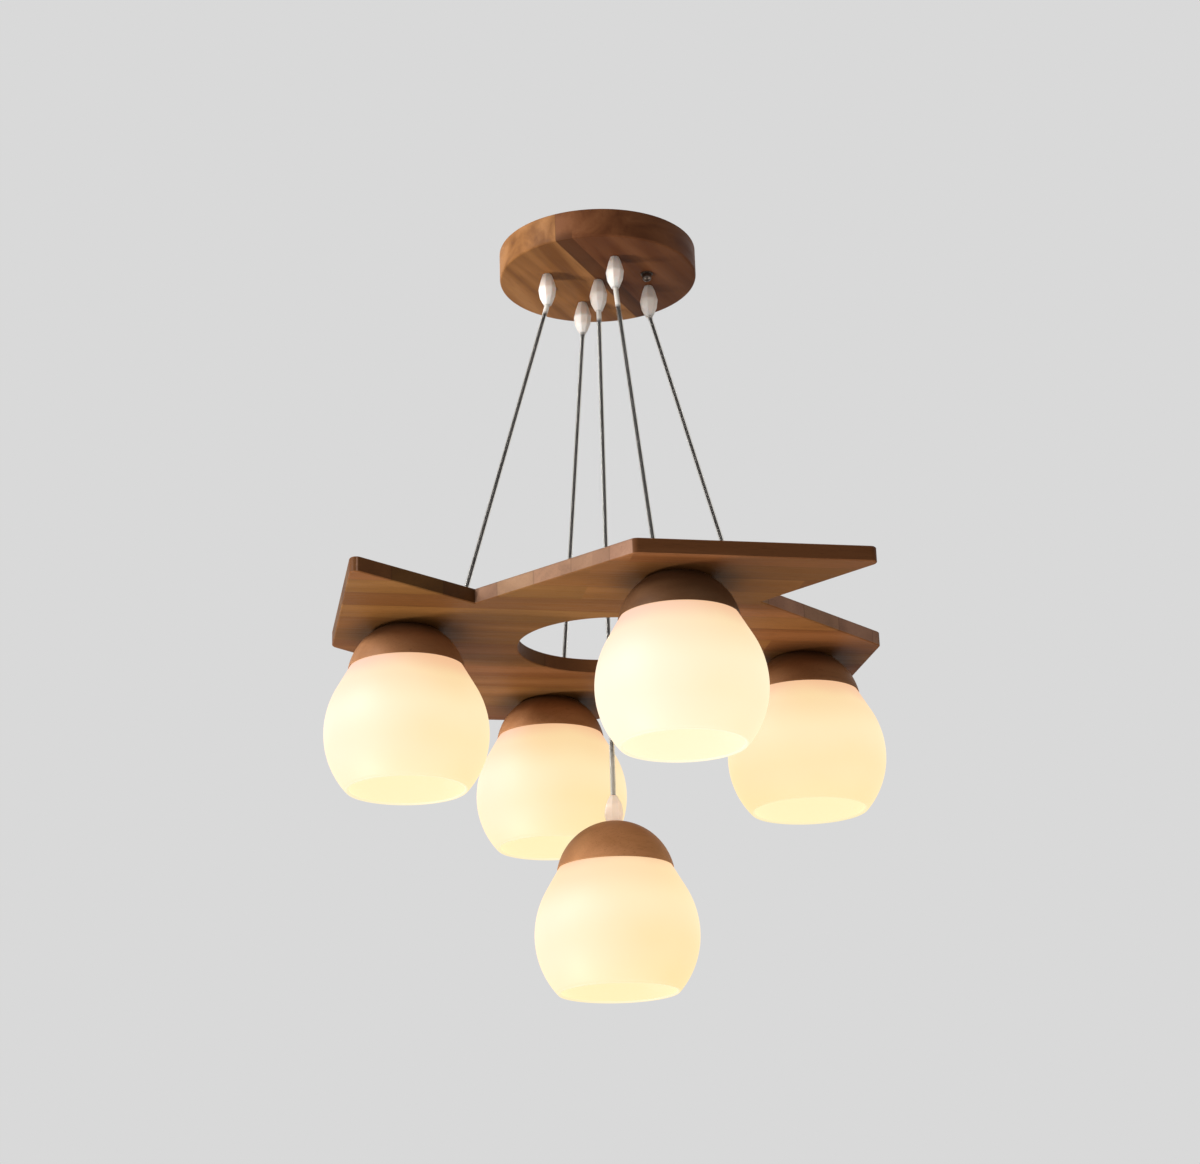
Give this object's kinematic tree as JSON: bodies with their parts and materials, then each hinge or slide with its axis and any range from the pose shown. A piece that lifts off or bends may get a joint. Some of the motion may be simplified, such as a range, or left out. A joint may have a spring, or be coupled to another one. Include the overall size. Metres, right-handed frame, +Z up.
{
  "type": "wood pendant light",
  "caption": "Pendant light with opal glass globes in wooden cups on a pinwheel-shaped wooden board, hung by clear cords from a round wooden ceiling rose, one globe hanging lower.",
  "frame": {"origin": "middle of the ceiling screws' circle, in the plane of the ceiling", "axes": "+Z up into the ceiling; X and Y along the sides of the square that the board is cut from"},
  "size_m": [0.5364, 0.5364, 0.7355],
  "materials": {
    "rose_wood": "oiled, dark brown, low sheen",
    "board_wood": "oiled, warm brown, open grain",
    "cup_wood": "turned and oiled, pale brown",
    "cord": "clear jacket over a grey stranded core",
    "grip_plastic": "moulded, cream, satin",
    "dark_steel": "bronzed",
    "zinc_steel": "zinc plated",
    "sleeve_brass": "rolled thread",
    "holder_plastic": "moulded, white",
    "terminal_plastic": "moulded, white",
    "opal_glass": "blown opal white, glossy",
    "bulb_glass": "frosted white"
  },
  "bodies": {
    "root": {"ceiling_bracket": "zinc_steel", "ceiling_rose": "rose_wood", "rose_studs": "zinc_steel", "rose_cap_nuts": "dark_steel", "terminal_block": "terminal_plastic", "cord_tops": "cord", "grip_nuts": "grip_plastic", "rose_grip_1": "grip_plastic", "rose_grip_2": "grip_plastic", "rose_grip_3": "grip_plastic", "rose_grip_4": "grip_plastic", "rose_grip_centre": "grip_plastic"},
    "board": {"board": "board_wood", "wiring_covers": "board_wood", "board_wiring": "cord", "board_nipples": "zinc_steel", "nipple_nuts": "zinc_steel", "board_grip_1": "grip_plastic", "board_grip_2": "grip_plastic", "board_grip_3": "grip_plastic", "board_grip_4": "grip_plastic", "cup_1": "cup_wood", "lampholder_1": "holder_plastic", "socket_sleeve_1": "sleeve_brass", "shade_ring_1": "holder_plastic", "glass_shade_1": "opal_glass", "bulb_1": "bulb_glass", "cup_2": "cup_wood", "lampholder_2": "holder_plastic", "socket_sleeve_2": "sleeve_brass", "shade_ring_2": "holder_plastic", "glass_shade_2": "opal_glass", "bulb_2": "bulb_glass", "cup_3": "cup_wood", "lampholder_3": "holder_plastic", "socket_sleeve_3": "sleeve_brass", "shade_ring_3": "holder_plastic", "glass_shade_3": "opal_glass", "bulb_3": "bulb_glass", "cup_4": "cup_wood", "lampholder_4": "holder_plastic", "socket_sleeve_4": "sleeve_brass", "shade_ring_4": "holder_plastic", "glass_shade_4": "opal_glass", "bulb_4": "bulb_glass"},
    "cord_1": {"board_cord_1": "cord"},
    "cord_2": {"board_cord_2": "cord"},
    "cord_3": {"board_cord_3": "cord"},
    "cord_4": {"board_cord_4": "cord"},
    "cord_bend": {"centre_cord_bend": "cord"},
    "lamp_cord": {"centre_cord": "cord"},
    "lamp": {"pendant_cord_end": "cord", "pendant_grip": "grip_plastic", "pendant_nipple": "zinc_steel", "pendant_cup": "cup_wood", "pendant_lampholder": "holder_plastic", "pendant_socket_sleeve": "sleeve_brass", "pendant_shade_ring": "holder_plastic", "pendant_glass_shade": "opal_glass", "pendant_bulb": "bulb_glass"}
  },
  "joints": [
    {"name": "board_twist", "type": "hinge", "parent": "root", "child": "board", "pos_m": [0, 0, -0.3855], "axis": [0, 0, 1], "range_deg": [-15, 15], "stiffness_Nm_per_rad": 0.95},
    {"name": "board_cord_1_lean", "type": "hinge", "parent": "root", "child": "cord_1", "pos_m": [-0.05222, -0.00706, -0.0605], "axis": [-0.1586, -0.0214, 0.9871], "range_deg": [-15.5, 15.5]},
    {"name": "board_cord_2_lean", "type": "hinge", "parent": "root", "child": "cord_2", "pos_m": [0.00706, -0.05222, -0.0605], "axis": [0.0214, -0.1586, 0.9871], "range_deg": [-15.5, 15.5]},
    {"name": "board_cord_3_lean", "type": "hinge", "parent": "root", "child": "cord_3", "pos_m": [0.05222, 0.00706, -0.0605], "axis": [0.1586, 0.0214, 0.9871], "range_deg": [-15.5, 15.5]},
    {"name": "board_cord_4_lean", "type": "hinge", "parent": "root", "child": "cord_4", "pos_m": [-0.00706, 0.05222, -0.0605], "axis": [-0.0214, 0.1586, 0.9871], "range_deg": [-15.5, 15.5]},
    {"name": "pendant_swing_x", "type": "hinge", "parent": "root", "child": "cord_bend", "pos_m": [0, 0, -0.0605], "axis": [1, 0, 0], "range_deg": [-9.5, 9.5]},
    {"name": "pendant_swing_y", "type": "hinge", "parent": "cord_bend", "child": "lamp_cord", "pos_m": [0, 0, -0.0605], "axis": [0, 1, 0], "range_deg": [-9.5, 9.5]},
    {"name": "pendant_twist", "type": "hinge", "parent": "lamp_cord", "child": "lamp", "pos_m": [0, 0, -0.5551], "axis": [0, 0, 1], "range_deg": [-180, 180], "stiffness_Nm_per_rad": 0.0025}
  ],
  "couplings": [
    {"joint": "board_cord_1_lean", "follows": "board_twist", "ratio": 1.0131},
    {"joint": "board_cord_2_lean", "follows": "board_twist", "ratio": 1.0131},
    {"joint": "board_cord_3_lean", "follows": "board_twist", "ratio": 1.0131},
    {"joint": "board_cord_4_lean", "follows": "board_twist", "ratio": 1.0131}
  ]
}
